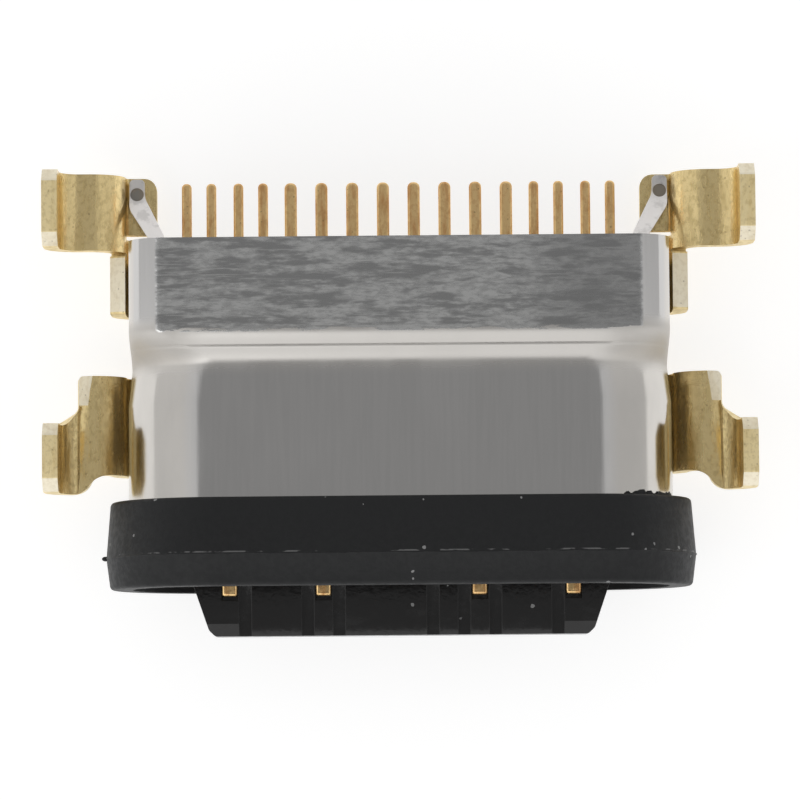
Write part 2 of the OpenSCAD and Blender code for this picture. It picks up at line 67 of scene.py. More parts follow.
MM = 0.001
TOUCH = 1e-6
MERGE = 1e-7
CONTACT_SET_BACK = 0.07 * MM
QUARTER = math.pi / 2.0
Pair = tuple[float, float]
Triple = tuple[float, float, float]
RGB = Triple
WHITE: RGB = (1.0, 1.0, 1.0)


class Slot(Enum):
    """Material slots of the part's record."""

    SHELL_STEEL = "shell_steel"
    PLATE_STEEL = "plate_steel"
    GOLD_BRACKET = "gold_bracket"
    GOLD_CONTACT = "gold_contact"
    SEAL_RUBBER = "seal_rubber"
    TONGUE_PLASTIC = "tongue_plastic"
    CARRIER_PLASTIC = "carrier_plastic"
    SEALANT_RESIN = "sealant_resin"


# ---- Node trees -------------------------------------------------------------


class Tree:
    """A node tree with short calls for adding and joining nodes."""

    def __init__(self, tree: bpy.types.NodeTree) -> None:
        """Keep the tree that nodes go into.

        Args:
            tree: The node tree of a material, a world or a group.
        """
        self.tree = tree

    def add(self, kind: str, settings: dict | None = None, **values: object) -> bpy.types.Node:
        """Add a node.

        Args:
            kind: The node's type, without its ShaderNode prefix.
            settings: Properties of the node itself.
            **values: Input sockets by name, with underscores for spaces; a
                value is a constant or the output socket that feeds it.

        Returns:
            The new node.
        """
        node = self.tree.nodes.new("ShaderNode" + kind)
        for name, value in (settings or {}).items():
            setattr(node, name, value)
        for name, value in values.items():
            socket = self.socket(node, name)
            if isinstance(value, bpy.types.NodeSocket):
                self.tree.links.new(value, socket)
            elif isinstance(value, tuple) and len(value) == 3 and socket.type == "RGBA":
                socket.default_value = (*value, 1.0)
            else:
                socket.default_value = value
        return node

    @staticmethod
    def socket(node: bpy.types.Node, name: str) -> bpy.types.NodeSocket:
        """Find an input socket.

        Args:
            node: The node that has it.
            name: Its name with underscores for spaces, or in_ and its number.

        Returns:
            The input socket.
        """
        if name.startswith("in_"):
            return node.inputs[int(name[3:])]
        return node.inputs[name.replace("_", " ")]

    def feed(self, node: bpy.types.Node, name: str, value: bpy.types.NodeSocket) -> None:
        """Link a value into a node's input socket."""
        self.tree.links.new(value, self.socket(node, name))

    def math(self, operation: str, a: object, b: object = 0.0) -> bpy.types.NodeSocket:
        """Add a Math node and return its output."""
        return self.add("Math", {"operation": operation}, in_0=a, in_1=b).outputs[0]

    def times(self, a: object, b: object) -> bpy.types.NodeSocket:
        """Multiply two values and return the product."""
        return self.math("MULTIPLY", a, b)

    def ramp(self, value: object, low: float, high: float, start: float = 0.0,
             end: float = 1.0) -> bpy.types.NodeSocket:
        """Add a smooth Map Range.

        Args:
            value: The socket to map.
            low: The input that gives start.
            high: The input that gives end.
            start: The result at low.
            end: The result at high.

        Returns:
            The mapped value.
        """
        node = self.add("MapRange", {"interpolation_type": "SMOOTHSTEP"}, Value=value,
                        From_Min=low, From_Max=high, To_Min=start, To_Max=end)
        return node.outputs["Result"]

    def mix(self, factor: object, a: object, b: object) -> bpy.types.NodeSocket:
        """Mix two colours.

        Args:
            factor: 0 for the first colour and 1 for the second.
            a: The first colour.
            b: The second colour.

        Returns:
            The mixed colour.
        """
        node = self.add("Mix", {"data_type": "RGBA"})
        for index, value in ((0, factor), (6, a), (7, b)):
            socket = node.inputs[index]
            if isinstance(value, bpy.types.NodeSocket):
                self.tree.links.new(value, socket)
            elif index:
                socket.default_value = (*value, 1.0)
            else:
                socket.default_value = value
        return node.outputs[2]


def fresh_tree(owner: bpy.types.Material | bpy.types.World) -> Tree:
    """Empty the node tree of a material or a world.

    Args:
        owner: The material or world.

    Returns:
        Its empty tree.
    """
    owner.use_nodes = True
    owner.node_tree.nodes.clear()
    return Tree(owner.node_tree)


def new_group(name: str, inputs: dict[str, tuple[str, object]], outputs: dict[str, str]) -> Tree:
    """Make an empty shader node group.

    Args:
        name: The group's name.
        inputs: Each input's kind (Float, Vector or Color) and start value.
        outputs: Each output's kind.

    Returns:
        The group's tree, with nodes called In and Out.
    """
    tree = bpy.data.node_groups.new(name, "ShaderNodeTree")
    for label, (kind, value) in inputs.items():
        socket = tree.interface.new_socket(label, in_out="INPUT", socket_type="NodeSocket" + kind)
        if value is not None:
            socket.default_value = value
    for label, kind in outputs.items():
        tree.interface.new_socket(label, in_out="OUTPUT", socket_type="NodeSocket" + kind)
    tree.nodes.new("NodeGroupInput").name = "In"
    tree.nodes.new("NodeGroupOutput").name = "Out"
    return Tree(tree)


def build_streaks() -> bpy.types.NodeTree:
    """Make the group that masks stretched, cloudy streaks.

    Returns:
        The node group, with inputs Vector, Stretch, Scale, Detail, Low, High.
    """
    group = new_group("streaks", {
        "Vector": ("Vector", None), "Stretch": ("Vector", (1.0, 1.0, 1.0)),
        "Scale": ("Float", 1000.0), "Detail": ("Float", 4.0),
        "Low": ("Float", 0.4), "High": ("Float", 0.6),
    }, {"Mask": "Float"})
    source = group.tree.nodes["In"].outputs
    stretched = group.add("VectorMath", {"operation": "MULTIPLY"},
                          in_0=source["Vector"], in_1=source["Stretch"])
    noise = group.add("TexNoise", Vector=stretched.outputs[0], Scale=source["Scale"],
                      Detail=source["Detail"], Roughness=0.62)
    mask = group.ramp(noise.outputs["Fac"], 0.4, 0.6)
    ramp = mask.node
    group.tree.links.new(source["Low"], ramp.inputs["From Min"])
    group.tree.links.new(source["High"], ramp.inputs["From Max"])
    group.tree.links.new(mask, group.tree.nodes["Out"].inputs["Mask"])
    return group.tree


def build_specks() -> bpy.types.NodeTree:
    """Make the group that masks scattered specks of dust and pits.

    Returns:
        The node group, with inputs Vector, Scale, Size and Share.
    """
    group = new_group("specks", {
        "Vector": ("Vector", None), "Scale": ("Float", 4000.0),
        "Size": ("Float", 0.2), "Share": ("Float", 0.3),
    }, {"Mask": "Float"})
    source = group.tree.nodes["In"].outputs
    warp_scale, warp_reach = 9000.0, 6e-5
    warp = group.add("TexNoise", Vector=source["Vector"], Scale=warp_scale, Detail=2.0)
    shift = group.add("VectorMath", {"operation": "MULTIPLY_ADD"}, in_0=warp.outputs["Color"],
                      in_1=(warp_reach, warp_reach, warp_reach), in_2=source["Vector"])
    cells = group.add("TexVoronoi", Vector=shift.outputs[0], Scale=source["Scale"])
    near = group.math("LESS_THAN", cells.outputs["Distance"], source["Size"])
    tone = group.add("SeparateColor", Color=cells.outputs["Color"])
    kept = group.math("LESS_THAN", tone.outputs[0], source["Share"])
    mask = group.math("MULTIPLY", near, kept)
    group.tree.links.new(mask, group.tree.nodes["Out"].inputs["Mask"])
    return group.tree


# ---- Finishes ---------------------------------------------------------------


@dataclass(frozen=True)
class Streaks:
    """A cloudy pattern: how much finer along each axis, how many per metre,
    the noise levels where its mask starts and is full, and its octaves."""

    stretch: Triple
    scale: float
    low: float
    high: float
    detail: float = 4.0


@dataclass(frozen=True)
class Specks:
    """Scattered specks: cells per metre, a speck's radius in its cell, and the
    share of cells that have one."""

    scale: float
    size: float
    share: float


@dataclass(frozen=True)
class Effects:
    """The node groups that the finishes share."""

    streaks: bpy.types.NodeTree
    specks: bpy.types.NodeTree

    def streak(self, tree: Tree, place: object, look: Streaks) -> bpy.types.NodeSocket:
        """Place the streaks group in a material.

        Args:
            tree: The material's tree.
            place: The coordinates.
            look: The pattern's sizes.

        Returns:
            The mask.
        """
        node = tree.add("Group", {"node_tree": self.streaks}, Vector=place,
                        Stretch=look.stretch, Scale=look.scale, Detail=look.detail,
                        Low=look.low, High=look.high)
        return node.outputs["Mask"]

    def speck(self, tree: Tree, place: object, look: Specks) -> bpy.types.NodeSocket:
        """Place the specks group in a material.

        Args:
            tree: The material's tree.
            place: The coordinates.
            look: The pattern's sizes.

        Returns:
            The mask.
        """
        node = tree.add("Group", {"node_tree": self.specks}, Vector=place, Scale=look.scale,
                        Size=look.size, Share=look.share)
        return node.outputs["Mask"]


@dataclass(frozen=True)
class Finish:
    """What all finishes share: a name, a base colour and a roughness."""

    name: str
    colour: RGB
    roughness: float

    def start(self, metallic: float = 0.0,
              specular: float = 0.5) -> tuple[bpy.types.Material, Tree, bpy.types.Node]:
        """Make a material with a Principled shader.

        Args:
            metallic: The shader's Metallic.
            specular: The shader's specular level.

        Returns:
            The material, its tree and its shader node.
        """
        material = bpy.data.materials.new(self.name)
        tree = fresh_tree(material)
        shader = tree.add("BsdfPrincipled", Base_Color=self.colour, Roughness=self.roughness,
                          Metallic=metallic, Specular_IOR_Level=specular)
        tree.add("OutputMaterial", Surface=shader.outputs[0])
        return material, tree, shader

    @staticmethod
    def place(tree: Tree) -> bpy.types.NodeSocket:
        """Add the object's own coordinates and return them."""
        return tree.add("TexCoord").outputs["Object"]

    @staticmethod
    def bump(tree: Tree, shader: bpy.types.Node, height: object, depth: float) -> None:
        """Feed a height, from 0 to 1, into the shader's Normal.

        Args:
            tree: The material's tree.
            shader: The Principled shader.
            height: The height.
            depth: What a height of 1 stands for, in metres.
        """
        bump = tree.add("Bump", Height=height, Distance=depth, Strength=1.0)
        tree.feed(shader, "Normal", bump.outputs[0])


@dataclass(frozen=True)
class ShellSteel(Finish):
    """Deep-drawn steel: brushed in front, streaked and stain-mottled on the raised rear, with
    painted shade darkening the raised rear towards +X, warm at the sides.
    """

    warm: RGB = (0.64, 0.615, 0.58)
    worn: RGB = (0.5, 0.485, 0.46)
    # The stain grey is also the colour that the painted shade on the raised rear darkens towards,
    # towards +X.
    stain: RGB = (0.34, 0.34, 0.34)
    bloom: RGB = (0.78, 0.78, 0.77)
    raised_level: float = 1.655 * MM
    raised_fade: float = 0.012 * MM
    flat_level: float = 1.45 * MM
    flat_fade: float = 0.1 * MM
    stain_y: float = 3.99 * MM
    stain_fade: float = 0.03 * MM
    stain_ragged: float = -0.07 * MM
    # Where the painted shade on the raised rear deepens towards +X.
    right_fade: Pair = (1.6 * MM, 3.0 * MM)
    corner_fade: Pair = (3.0 * MM, 3.6 * MM)
    step_start: Pair = (3.3 * MM, 3.6 * MM)
    step_end: Pair = (4.3 * MM, 4.05 * MM)
    relief: float = 0.0004 * MM
    brushed: Streaks = Streaks((14.0, 0.6, 6.0), 900.0, 0.35, 0.65, 3.0)
    clouds: Streaks = Streaks((0.5, 2.4, 2.4), 3100.0, 0.44, 0.6, 10.0)
    scratches: Streaks = Streaks((0.22, 6.0, 6.0), 2600.0, 0.6, 0.68, 3.0)
    grain: Streaks = Streaks((0.6, 1.5, 1.5), 11000.0, 0.4, 0.62)
    drawn: Streaks = Streaks((0.9, 0.35, 0.9), 1100.0, 0.35, 0.7, 5.0)

    def build(self, effects: Effects) -> bpy.types.Material:
        """Make the material.

        Args:
            effects: The shared node groups.

        Returns:
            The shell's steel.
        """
        material, tree, shader = self.start(metallic=1.0)
        place = self.place(tree)
        x, y, z = tree.add("SeparateXYZ", Vector=place).outputs
        level = tree.ramp(z, self.flat_level - self.flat_fade, self.flat_level)
        brushed = effects.streak(tree, place, self.brushed)
        clouds = effects.streak(tree, place, self.clouds)
        scratches = effects.streak(tree, place, self.scratches)
        grain = effects.streak(tree, place, self.grain)
        drawn = effects.streak(tree, place, self.drawn)
        ragged = tree.math("ADD", y, tree.times(clouds, self.stain_ragged))
        raised = tree.times(
            tree.ramp(ragged, self.stain_y, self.stain_y + self.stain_fade),
            tree.ramp(z, self.raised_level, self.raised_level + self.raised_fade))
        # Painted shade: a mask that darkens the raised rear towards +X, as if less light fell on
        # that side.
        right = tree.ramp(x, *self.right_fade, 0.0, 0.5)
        corner = tree.ramp(tree.math("ABSOLUTE", x), *self.corner_fade, 0.2, 0.5)
        step = tree.times(tree.ramp(y, *self.step_start), tree.ramp(y, *self.step_end))
        sides = tree.mix(tree.times(drawn, 0.35), self.warm, self.worn)
        front = tree.mix(tree.times(brushed, 0.07), self.colour, self.stain)
        stains_and_shade = tree.mix(tree.times(clouds, 0.8), self.bloom, self.stain)
        stains_and_shade = tree.mix(tree.times(grain, 0.55), stains_and_shade, self.stain)
        stains_and_shade = tree.mix(tree.times(scratches, 0.5), stains_and_shade, self.bloom)
        # The painted shade towards +X goes into the raised rear's colour here.
        stains_and_shade = tree.mix(right, stains_and_shade, self.stain)
        colour = tree.mix(level, sides, front)
        colour = tree.mix(tree.times(step, 0.8), colour, self.warm)
        tree.feed(shader, "Base_Color", tree.mix(raised, colour, stains_and_shade))
        rough = tree.ramp(drawn, 0.0, 1.0, self.roughness, self.roughness + 0.08)
        patchy = tree.ramp(grain, 0.0, 1.0, self.roughness + 0.02, self.roughness + 0.16)
        rough = tree.math("ADD", rough, tree.times(step, corner))
        shine = tree.add("Mix", in_0=raised, in_2=rough, in_3=patchy)
        tree.feed(shader, "Roughness", shine.outputs[0])
        relief = tree.math("ADD", tree.times(brushed, 0.3), tree.times(grain, raised))
        self.bump(tree, shader, relief, self.relief)
        return material


@dataclass(frozen=True)
class Steel(Finish):
    """Stamped steel strip with faint rolling marks."""

    stain: RGB = (0.3, 0.29, 0.27)
    stain_amount: float = 0.3
    relief: float = 0.0015 * MM
    rolled: Streaks = Streaks((9.0, 1.0, 1.0), 700.0, 0.3, 0.7)
    stains: Streaks = Streaks((1.0, 1.0, 1.0), 3200.0, 0.5, 0.62, 5.0)

    def build(self, effects: Effects) -> bpy.types.Material:
        """Make the material.

        Args:
            effects: The shared node groups.

        Returns:
            The steel.
        """
        material, tree, shader = self.start(metallic=1.0)
        place = self.place(tree)
        rolled = effects.streak(tree, place, self.rolled)
        stains = effects.streak(tree, place, self.stains)
        colour = tree.mix(tree.times(stains, self.stain_amount), self.colour, self.stain)
        tree.feed(shader, "Base_Color", colour)
        rough = tree.ramp(rolled, 0.0, 1.0, self.roughness - 0.05, self.roughness + 0.07)
        tree.feed(shader, "Roughness", rough)
        self.bump(tree, shader, rolled, self.relief)
        return material


@dataclass(frozen=True)
class Gold(Finish):
    """Thin gold plating over rolled strip, olive and pitted where it is worn."""

    tarnish: RGB = (0.46, 0.33, 0.11)
    tarnish_amount: float = 0.45
    pit: RGB = (0.16, 0.1, 0.04)
    pit_share: float = 0.12
    mottle: float = 0.3
    rolling: Triple = (1.0, 0.22, 1.0)
    relief: float = 0.003 * MM
    fine: Streaks = Streaks((1.0, 0.7, 1.0), 15000.0, 0.46, 0.64)

    def build(self, effects: Effects) -> bpy.types.Material:
        """Make the material.

        Args:
            effects: The shared node groups.

        Returns:
            The gold plating.
        """
        material, tree, shader = self.start(metallic=0.84)
        place = self.place(tree)
        worn = effects.streak(tree, place, Streaks(self.rolling, 5200.0, 0.42, 0.7, 5.0))
        fine = effects.streak(tree, place, self.fine)
        pits = effects.speck(tree, place, Specks(15000.0, 0.22, self.pit_share))
        colour = tree.mix(tree.times(worn, self.tarnish_amount), self.colour, self.tarnish)
        colour = tree.mix(tree.times(fine, self.mottle), colour, self.tarnish)
        tree.feed(shader, "Base_Color", tree.mix(tree.times(pits, 0.35), colour, self.pit))
        rough = tree.ramp(worn, 0.0, 1.0, self.roughness, self.roughness + 0.12)
        tree.feed(shader, "Roughness", rough)
        relief = tree.math("ADD", worn, tree.times(fine, 0.5))
        self.bump(tree, shader, tree.math("SUBTRACT", relief, pits), self.relief)
        return material


@dataclass(frozen=True)
class Moulded(Finish):
    """Moulded plastic, rubber or resin, with a fine skin and dust on it, and painted glints in
    the dust colour along its parting line where one is given.
    """

    relief: float = 0.002 * MM
    # The dust grey also colours the painted glints along the parting line.
    dust: RGB = (0.25, 0.25, 0.25)
    dust_share: float = 0.05
    bloom: RGB = (0.03, 0.03, 0.03)
    bloom_amount: float = 0.0
    specular: float = 0.5
    parting_y: float = 0.0
    parting_fade: Pair = (0.016 * MM, 0.006 * MM)
    skin: Streaks = Streaks((1.0, 1.0, 1.0), 9000.0, 0.3, 0.7, 3.0)
    clouds: Streaks = Streaks((0.5, 1.0, 1.0), 3000.0, 0.5, 0.75, 6.0)
    # Dashes of painted glint along the parting line.
    glint_dashes: Streaks = Streaks((0.5, 1.0, 1.0), 5200.0, 0.5, 0.6, 3.0)

    def build(self, effects: Effects) -> bpy.types.Material:
        """Make the material.

        Args:
            effects: The shared node groups.

        Returns:
            The moulded finish.
        """
        material, tree, shader = self.start(specular=self.specular)
        place = self.place(tree)
        skin = effects.streak(tree, place, self.skin)
        bloom = effects.streak(tree, place, self.clouds)
        dust = effects.speck(tree, place, Specks(5200.0, 0.16, self.dust_share))
        colour = tree.mix(tree.times(bloom, self.bloom_amount), self.colour, self.bloom)
        colour = tree.mix(dust, colour, self.dust)
        # Painted highlight: light dashes along the parting line stand in for glints on its flash.
        if self.parting_y:
            y = tree.add("SeparateXYZ", Vector=place).outputs["Y"]
            away = tree.math("ABSOLUTE", tree.math("SUBTRACT", y, self.parting_y))
            glint_dashes = effects.streak(tree, place, self.glint_dashes)
            line = tree.times(tree.ramp(away, *self.parting_fade), glint_dashes)
            colour = tree.mix(tree.times(line, 0.5), colour, self.dust)
        tree.feed(shader, "Base_Color", colour)
        rough = tree.ramp(skin, 0.0, 1.0, self.roughness - 0.05, self.roughness + 0.05)
        tree.feed(shader, "Roughness", rough)
        self.bump(tree, shader, skin, self.relief)
        return material


# ---- Meshes -----------------------------------------------------------------


def add_piece(name: str, mesh: bmesh.types.BMesh, material: bpy.types.Material,
              sharp: float = 30.0) -> bpy.types.Object:
    """Turn a finished bmesh into a piece that rides on the socket.

    Args:
        name: The piece's name.
        mesh: Its bmesh, which is freed.
        material: Its material.
        sharp: Edges that turn by more degrees than this are shaded sharp.

    Returns:
        The piece.
    """
    data = bpy.data.meshes.new(name)
    mesh.to_mesh(data)
    mesh.free()
    data.polygons.foreach_set("use_smooth", [True] * len(data.polygons))
    data.set_sharp_from_angle(angle=math.radians(sharp))
    data.materials.append(material)
    piece = bpy.data.objects.new(name, data)
    bpy.context.scene.collection.objects.link(piece)
    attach(piece, "root")
    log.info("%s: %d faces", name, len(data.polygons))
    return piece


def merged(node: bpy.types.Object) -> bmesh.types.BMesh:
    """Copy a CAD node's mesh, with its triangles joined and its flats dissolved.

    Args:
        node: The CAD node.

    Returns:
        The clean copy.
    """
    flat_turn = math.radians(0.5)
    mesh = bmesh.new()
    mesh.from_mesh(node.data)
    bmesh.ops.remove_doubles(mesh, verts=mesh.verts, dist=MERGE)
    bmesh.ops.dissolve_limit(mesh, angle_limit=flat_turn, use_dissolve_boundaries=False,
                             verts=mesh.verts, edges=mesh.edges)
    return mesh


def soften(piece: bpy.types.Object, width: float, segments: int = 2, angle: float = 32.0) -> None:
    """Round a piece's sharp edges.

    Args:
        piece: The piece.
        width: The rounding's width in metres.
        segments: Its segments.
        angle: Edges that turn by more degrees than this are rounded.
    """
    bevel = piece.modifiers.new("rounded_edges", "BEVEL")
    bevel.width = width
    bevel.segments = segments
    bevel.limit_method = "ANGLE"
    bevel.angle_limit = math.radians(angle)


def weigh(piece: bpy.types.Object) -> None:
    """Shade a piece by its larger faces, so that its flats stay flat.

    Args:
        piece: The piece.
    """
    weighted = piece.modifiers.new("weighted_normals", "WEIGHTED_NORMAL")
    weighted.keep_sharp = True
    weighted.weight = 90


def set_back(piece: bpy.types.Object, distance: float) -> None:
    """Shorten a contact at its front end.

    Args:
        piece: The contact's piece.
        distance: How far its front end moves to the rear.
    """
    front = min(vert.co.y for vert in piece.data.vertices)
    for vert in piece.data.vertices:
        if vert.co.y < front + distance:
            vert.co.y = front + distance


def mark_welds(piece: bpy.types.Object) -> None:
    """Give the floors of the mid-plate's weld spots the second material.

    Args:
        piece: The mid-plate's piece.
    """
    arms_y, largest, depth = 5.9 * MM, 0.05 * MM * MM, 0.01 * MM
    pads = [face for face in piece.data.polygons
            if face.center.y > arms_y and face.normal.z > 0.9 and face.area < largest]
    level = min(face.center.z for face in pads)
    for face in pads:
        face.material_index = int(face.center.z < level + depth)


def dressed(node: bpy.types.Object, material: bpy.types.Material,
            edge: float) -> bpy.types.Object:
    """Replace a CAD node by a clean copy with rounded edges.

    Args:
        node: The CAD node.
        material: Its material.
        edge: The rounding of its edges in metres.

    Returns:
        The new piece.
    """
    piece = add_piece(node.name + "_dressed", merged(node), material)
    soften(piece, edge)
    weigh(piece)
    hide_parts(node.name)
    return piece


# ---- Studio -----------------------------------------------------------------


@dataclass
class Studio:
    """Camera, world, lamp and floor."""

    camera_place: Triple = (0.0, -3.11 * MM, 79.76 * MM)
    camera_aim: Triple = (0.0, 3.03 * MM, 0.0)
    camera_roll: float = -0.5
    lens: float = 223.6
    sensor: float = 36.0
    clip: Pair = (0.001, 10.0)
    zenith_level: float = 0.34
    zenith_edge: Pair = (26.6, 28.2)
    front_level: float = 0.98
    rear_level: float = 0.62
    front_fade: Pair = (0.35, -0.45)
    right_level: float = 0.86
    right_fade: Pair = (0.3, 0.7)
    lamp_place: Triple = (-0.06, -0.06, 0.09)
    lamp_size: float = 0.08
    lamp_power: float = 0.012
    floor_side: float = 0.6
    floor_colour: RGB = (0.8, 0.8, 0.8)
    floor_matt: RGB = (0.42, 0.42, 0.42)
    floor_glow: float = 0.74

    def build(self, lowest: float) -> None:
        """Build everything that isn't the socket.

        Args:
            lowest: The height of the socket's lowest point.
        """
        scene = bpy.context.scene
        scene.view_settings.view_transform = "Standard"
        self.add_camera(scene)
        self.add_world(scene)
        self.add_lamp()
        self.add_floor(lowest)

    def add_camera(self, scene: bpy.types.Scene) -> None:
        """Add the camera.

        Args:
            scene: The scene that uses it.
        """
        data = bpy.data.cameras.new("camera")
        data.lens = self.lens
        data.sensor_width = self.sensor
        data.clip_start, data.clip_end = self.clip
        camera = bpy.data.objects.new("camera", data)
        scene.collection.objects.link(camera)
        line = Vector(self.camera_aim) - Vector(self.camera_place)
        roll = Matrix.Rotation(math.radians(self.camera_roll), 4, "Z")
        turn = line.to_track_quat("-Z", "Y").to_matrix().to_4x4()
        camera.matrix_world = Matrix.Translation(self.camera_place) @ turn @ roll
        scene.camera = camera

    def add_world(self, scene: bpy.types.Scene) -> None:
        """Add a bright tent that is dimmer straight above, and white behind.

        Args:
            scene: The scene that uses it.
        """
        world = bpy.data.worlds.new("tent")
        tree = fresh_tree(world)
        place = tree.add("TexCoord").outputs["Generated"]
        x, y, z = tree.add("SeparateXYZ", Vector=place).outputs
        edge = [math.cos(math.radians(angle)) for angle in self.zenith_edge]
        facing = tree.ramp(y, *self.front_fade, self.rear_level, self.front_level)
        level = tree.math("MINIMUM", tree.ramp(z, *edge, self.zenith_level, 1.0), facing)
        level = tree.times(level, tree.ramp(x, *self.right_fade, 1.0, self.right_level))
        colour = tree.add("CombineColor", Red=level, Green=level, Blue=level).outputs[0]
        light = tree.add("Background", Color=colour, Strength=1.0)
        white = tree.add("Background", Color=WHITE, Strength=1.0)
        path = tree.add("LightPath")
        shown = tree.add("MixShader", in_0=path.outputs["Is Camera Ray"],
                         in_1=light.outputs[0], in_2=white.outputs[0])
        tree.add("OutputWorld", Surface=shown.outputs[0])
        scene.world = world

    def add_lamp(self) -> None:
        """Add the one soft lamp, up and to the left of the mouth."""
        data = bpy.data.lights.new("soft_lamp", "AREA")
        data.shape = "DISK"
        data.size = self.lamp_size
        data.energy = self.lamp_power
        lamp = bpy.data.objects.new("soft_lamp", data)
        lamp.location = self.lamp_place
        lamp.rotation_euler = (-Vector(self.lamp_place)).to_track_quat("-Z", "Y").to_euler()
        bpy.context.scene.collection.objects.link(lamp)

    def add_floor(self, lowest: float) -> None:
        """Add the pale floor.

        Args:
            lowest: The floor's height.
        """
        mesh = bmesh.new()
        bmesh.ops.create_grid(mesh, x_segments=1, y_segments=1, size=self.floor_side)
        bmesh.ops.translate(mesh, verts=mesh.verts, vec=(0.0, 0.0, lowest))
        data = bpy.data.meshes.new("floor")
        mesh.to_mesh(data)
        mesh.free()
        material = bpy.data.materials.new("pale_floor")
        tree = fresh_tree(material)
        matt = tree.add("BsdfDiffuse", Color=self.floor_matt)
        glow = tree.add("Emission", Color=WHITE, Strength=self.floor_glow)
        both = tree.add("AddShader", in_0=matt.outputs[0], in_1=glow.outputs[0])
        plain = tree.add("BsdfDiffuse", Color=self.floor_colour)
        path = tree.add("LightPath")
        seen = tree.math("MAXIMUM", path.outputs["Is Camera Ray"], path.outputs["Is Glossy Ray"])
        seen = tree.math("MAXIMUM", seen, path.outputs["Is Transmission Ray"])
        shown = tree.add("MixShader", in_0=seen, in_1=plain.outputs[0], in_2=both.outputs[0])
        tree.add("OutputMaterial", Surface=shown.outputs[0])
        data.materials.append(material)
        floor = bpy.data.objects.new("floor", data)
        bpy.context.scene.collection.objects.link(floor)


# ---- The socket -------------------------------------------------------------


@dataclass
class MouthShape:
    """The rounded slot that the shell and the seal share."""

    half_straight: float = 2.89 * MM
    arc_segments: int = 12

    def ring(self, mesh: bmesh.types.BMesh, y: float, radius: float, half_x: float,
             up: float = 0.0, down: float = 0.0) -> list[bmesh.types.BMEdge]:
        """Add a rounded loop across the socket.

        Args:
            mesh: The bmesh that gets it.
            y: Its distance from the mouth.
            radius: The radius of its four corners.
            half_x: How far the corners' centres stand from the middle.
            up: How far the upper centres stand above the middle.
            down: How far the lower centres stand below it.

        Returns:
            The loop's edges.
        """
        count = 4 * self.arc_segments
        trim = math.cos(math.pi / count)
        place = Matrix.Rotation(QUARTER, 4, "X") @ Matrix.Rotation(math.pi / count, 4, "Z")
        made = bmesh.ops.create_circle(mesh, radius=radius / trim, segments=count, matrix=place)
        for vert in made["verts"]:
            rise = up if vert.co.z > 0 else -down
            across = math.copysign(half_x, vert.co.x)
            bmesh.ops.translate(mesh, verts=[vert], vec=(across, y, rise))
        return list({edge for vert in made["verts"] for edge in vert.link_edges})


@dataclass
class Shell:
    """The drawn shell: a slot-shaped tunnel that opens into a squarer rear."""

    material: bpy.types.Material
    shape: MouthShape = field(default_factory=MouthShape)
    wall: float = 0.2 * MM
    mouth_radius: float = 1.48 * MM
    rear_radius: float = 0.6 * MM
    inset: float = 0.07 * MM
    rise: float = 0.2 * MM
    front_y: float = 0.12 * MM
    draw_in_y: float = 2.94 * MM
    step_y: float = 3.5 * MM
    step_len: float = 0.57 * MM
    rear_y: float = 5.51 * MM
    lead_in: float = 0.1 * MM
    step_rings: int = 16
    crease_share: float = 0.52
    crease_width: float = 0.035
    crease_depth: float = 0.014 * MM
    edge_round: float = 0.025 * MM

    def sizes(self, share: float) -> dict[str, float]:
        """Give a ring's sizes on the way from the tunnel to the rear.

        Args:
            share: 0 at the tunnel's end and 1 at the rear.

        Returns:
            The arguments of a ring.
        """
        blend = (1.0 - math.cos(math.pi * share)) / 2.0
        radius = self.mouth_radius + (self.rear_radius - self.mouth_radius) * blend
        half_x = self.shape.half_straight - self.inset
        grown = self.mouth_radius - radius
        return {"radius": radius, "half_x": half_x + grown,
                "up": grown + self.rise * blend, "down": grown}

    def rings(self, mesh: bmesh.types.BMesh) -> list[list[bmesh.types.BMEdge]]:
        """Add the rings of the outer surface, from the mouth to the rear.

        Args:
            mesh: The bmesh.

        Returns:
            The rings' edges.
        """
        rings = [self.shape.ring(mesh, y, self.mouth_radius, self.shape.half_straight)
                 for y in (self.front_y, self.draw_in_y)]
        crease = self.crease_share
        near, far = crease - self.crease_width, crease + self.crease_width
        shares = [step / self.step_rings for step in range(self.step_rings + 1)]
        shares = [share for share in shares if not near < share < far]
        for share in sorted(shares + [near, crease, far]):
            sizes = self.sizes(share)
            if share == crease:
                sizes["up"] -= self.crease_depth
            rings.append(self.shape.ring(mesh, self.step_y + self.step_len * share, **sizes))
        rings.append(self.shape.ring(mesh, self.rear_y, **self.sizes(1.0)))
        return rings

    def in_mouth(self, place: Vector) -> bool:
        """Tell whether a point lies on the inner edge of the mouth.

        Args:
            place: The point.

        Returns:
            True on the front face and nearer than the middle of the wall.
        """
        middle = self.mouth_radius - 0.5 * self.wall
        past = max(abs(place.x) - self.shape.half_straight, 0.0)
        return (abs(place.y - self.front_y) < TOUCH and abs(place.z) < middle
                and math.hypot(past, place.z) < middle)

    def build(self) -> bpy.types.Object:
        """Build the shell.

        Returns:
            The piece.
        """
        mesh = bmesh.new()
        rings = self.rings(mesh)
        for near, far in zip(rings, rings[1:]):
            bmesh.ops.bridge_loops(mesh, edges=near + far)
        bmesh.ops.recalc_face_normals(mesh, faces=mesh.faces)
        bmesh.ops.solidify(mesh, geom=mesh.faces[:], thickness=self.wall)
        bmesh.ops.recalc_face_normals(mesh, faces=mesh.faces)
        mouth = [edge for edge in mesh.edges if all(self.in_mouth(v.co) for v in edge.verts)]
        bmesh.ops.bevel(mesh, geom=mouth, offset=self.lead_in, segments=2, profile=0.5,
                        affect="EDGES", material=-1)
        piece = add_piece("shell_drawn", mesh, self.material, sharp=40.0)
        soften(piece, self.edge_round, 3, 50.0)
        weigh(piece)
        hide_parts("shell")
        return piece


